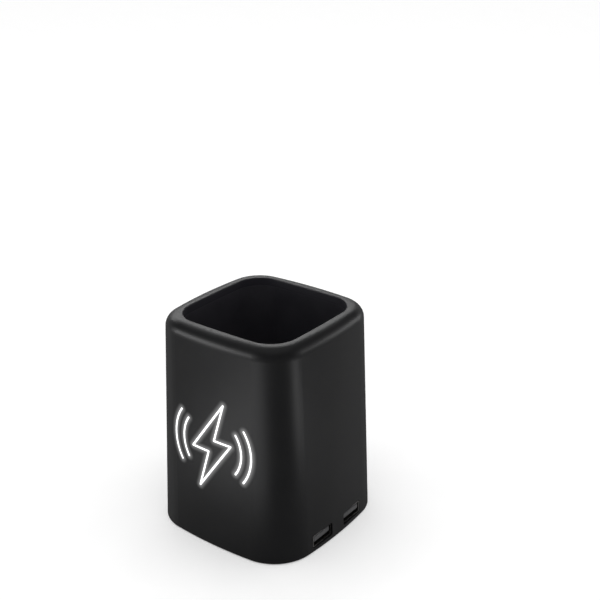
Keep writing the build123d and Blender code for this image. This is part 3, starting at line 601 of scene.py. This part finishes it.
pvc, shader, place = start_finish(
    "soft_pvc", dark="#9c1a18", light="#ac2320", patch=3, roughness=(0.35, 0.45)
)
drawn_out = add_node(pvc, "TexNoise", {"Vector": place, "Scale": scale_of(0.4), "Detail": 2.0})
raise_relief(pvc, shader, drawn_out.outputs["Fac"], depth=0.01)
finish_of["lead_insulation"] = pvc
print(phosphor.name, pvc.name)

# %% Enamelled copper
coil_level = 0.06475
strand_pitch = 0.3
wave_rings = 20 / math.tau

copper, shader, place = start_finish(
    "enamelled_copper", dark="#b06a3c", light="#c67d4c", patch=2, roughness=(0.25, 0.35),
    metallic=1.0,
)
coil_middle = add_node(copper, "VectorMath", {
    0: place, 1: (0, 0, coil_level),
}, operation="SUBTRACT")
strands = add_node(copper, "TexWave", {
    "Vector": coil_middle.outputs[0], "Scale": scale_of(strand_pitch) / wave_rings,
    "Distortion": 0.6,
}, wave_type="RINGS", rings_direction="Y")
raise_relief(copper, shader, strands.outputs["Fac"], depth=0.03)
finish_of["copper_wire"] = copper
print(copper.name)

# %% [markdown]
# ## Give each piece its finish
# The record of the model says which finish each piece takes, by the name of a slot. So
# the pieces needn't be listed again: one loop walks the record. Only the slots of the
# objects change, and the meshes stay as the CAD made them.

# %% Give each piece its finish
for entry in frame["record"]["subparts"]:
    for slot in nodes[entry["node"]].material_slots:
        slot.material = finish_of[entry["material_slot"]]

# %% [markdown]
# ## Table
# The cup stands on seamless white paper. The lamps alone would leave the paper light
# grey, and more light would bleach the cup. So the paper adds some white of its own, but
# only to what the camera, glossy surfaces and clear ones see. It keeps the soft shadow of
# the cup and throws no extra light back on it. The lamps reach less of the paper far from
# the cup, so it adds more white there. Paper has a tooth of about 0.1 mm, drawn at 1 mm.

# %% Table
table_half = 3.0
corners = [(x * table_half, y * table_half, 0) for x, y in ((-1, -1), (1, -1), (1, 1), (-1, 1))]
table_mesh = bpy.data.meshes.new("table")
table_mesh.from_pydata(corners, [], [(0, 1, 2, 3)])
table = bpy.data.objects.new("table", table_mesh)
bpy.context.scene.collection.objects.link(table)

paper, shader, place = start_finish(
    "seamless_paper", dark="#e5e5e5", light="#e8e8e8", patch=30, roughness=(0.85, 0.95)
)
fibre = add_node(paper, "TexNoise", {"Vector": place, "Scale": scale_of(1), "Detail": 3.0})
raise_relief(paper, shader, fibre.outputs["Fac"], depth=0.01)
table_mesh.materials.append(paper)

# %% White of the paper
near_cup, far_off = 0.2, 2.5
near_white, far_white = 0.28, 0.6

ray = add_node(paper, "LightPath").outputs
seen = add_node(paper, "Math", {0: ray["Is Camera Ray"], 1: ray["Is Glossy Ray"]}, operation="ADD")
seen = add_node(paper, "Math", {0: seen.outputs[0], 1: ray["Is Transmission Ray"]}, operation="ADD")
from_cup = add_node(paper, "VectorMath", {0: place}, operation="LENGTH")
own_white = add_node(paper, "MapRange", {
    "Value": from_cup.outputs["Value"], "From Min": near_cup, "From Max": far_off,
    "To Min": near_white, "To Max": far_white,
}).outputs["Result"]
white = add_node(paper, "Math", {0: seen.outputs[0], 1: own_white}, operation="MULTIPLY")
paper.node_tree.links.new(white.outputs[0], shader.inputs["Emission Strength"])
shader.inputs["Emission Color"].default_value = srgb("#ffffff")
print("paper", 2 * table_half, "m square, its own white", near_white, "to", far_white)

# %% [markdown]
# ## Studio
# The studio is white round the table and grey towards its ceiling, and one large softbox
# hangs over the cup. That lights everything evenly and leaves a soft shadow. A black cup
# needs more, because its shape shows only in what it mirrors. Product photographers set
# long, low strips of light round it, and lay bright cards on the table.
#
# The sides of the cup mirror the table, so the cards light them: one in front, and a
# narrow one to the right for the line beside the near corner. Between the two the table
# is plain, and the corner stays black. The strips stand higher, and draw the lines along
# the round of the rim.
#
# A lamp of brightness 1 would itself look just white. The strips and cards are brighter,
# because the lacquer mirrors so little, and they are shaded off everything but its gloss.

# %% Studio walls
horizon_white, ceiling_grey = 1.0, 0.35
walls_end, ceiling_starts = math.radians(8), math.radians(35)

world = bpy.data.worlds.new("studio")
bpy.context.scene.world = world
world.use_nodes = True
walls = world.node_tree.nodes["Background"]
walls.inputs["Color"].default_value = srgb("#ffffff")
direction = add_node(world, "TexCoord").outputs["Generated"]
steepness = add_node(world, "SeparateXYZ", {0: direction}).outputs["Z"]
shade = add_node(world, "MapRange", {
    "Value": steepness, "From Min": math.sin(walls_end), "From Max": math.sin(ceiling_starts),
    "To Min": horizon_white, "To Max": ceiling_grey,
}, interpolation_type="SMOOTHSTEP")
world.node_tree.links.new(shade.outputs["Result"], walls.inputs["Strength"])
print("walls", horizon_white, "ceiling", ceiling_grey)


# %% How a lamp is set up
def softbox(name, place, size, brightness, mirrored_by=None, aim=(0, 0, 0.07)):
    """A flat lamp at a place that faces its aim, in metres."""
    data = bpy.data.lights.new(name, "AREA")
    data.shape = "RECTANGLE"
    data.size, data.size_y = size
    data.energy = brightness * math.pi * size[0] * size[1]
    lamp = bpy.data.objects.new(name, data)
    lamp.location = place
    lamp.rotation_euler = (Vector(aim) - Vector(place)).to_track_quat("-Z", "Y").to_euler()
    lamp.visible_camera = False
    lamp.visible_diffuse = mirrored_by is None
    lamp.light_linking.receiver_collection = mirrored_by
    bpy.context.scene.collection.objects.link(lamp)
    print(name, round(data.energy, 2), "W")


lacquered = bpy.data.collections.new("lacquered")
for entry in frame["record"]["subparts"]:
    if entry["material_slot"] == "soft_touch_coat":
        lacquered.objects.link(nodes[entry["node"]])

# %% Softbox, strips and cards
card_level = 0.002
front_spot = (-0.008, -0.218)
corner_spot = (0.29, 0.025)

softbox("overhead", (0, 0, 1.6), (1.6, 1.6), 2.3)
softbox("front_strip", (-0.52, -0.69, 0.23), (0.44, 0.3), 42, lacquered)
softbox("right_strip", (0.53, 0.7, 0.23), (0.6, 0.2), 16, lacquered)
softbox("rear_strip", (-1.01, 0.91, 0.7), (1.4, 0.4), 14.5, lacquered)
softbox("front_card", (*front_spot, card_level), (0.14, 0.25), 9.3, lacquered,
        aim=(*front_spot, 1))
softbox("corner_card", (*corner_spot, card_level), (0.3, 0.055), 17, lacquered,
        aim=(*corner_spot, 1))

# %% [markdown]
# ## Finish
# The picture is shown with the standard view, which leaves a colour as it is.

# %% Finish
bpy.context.scene.view_settings.view_transform = "Standard"
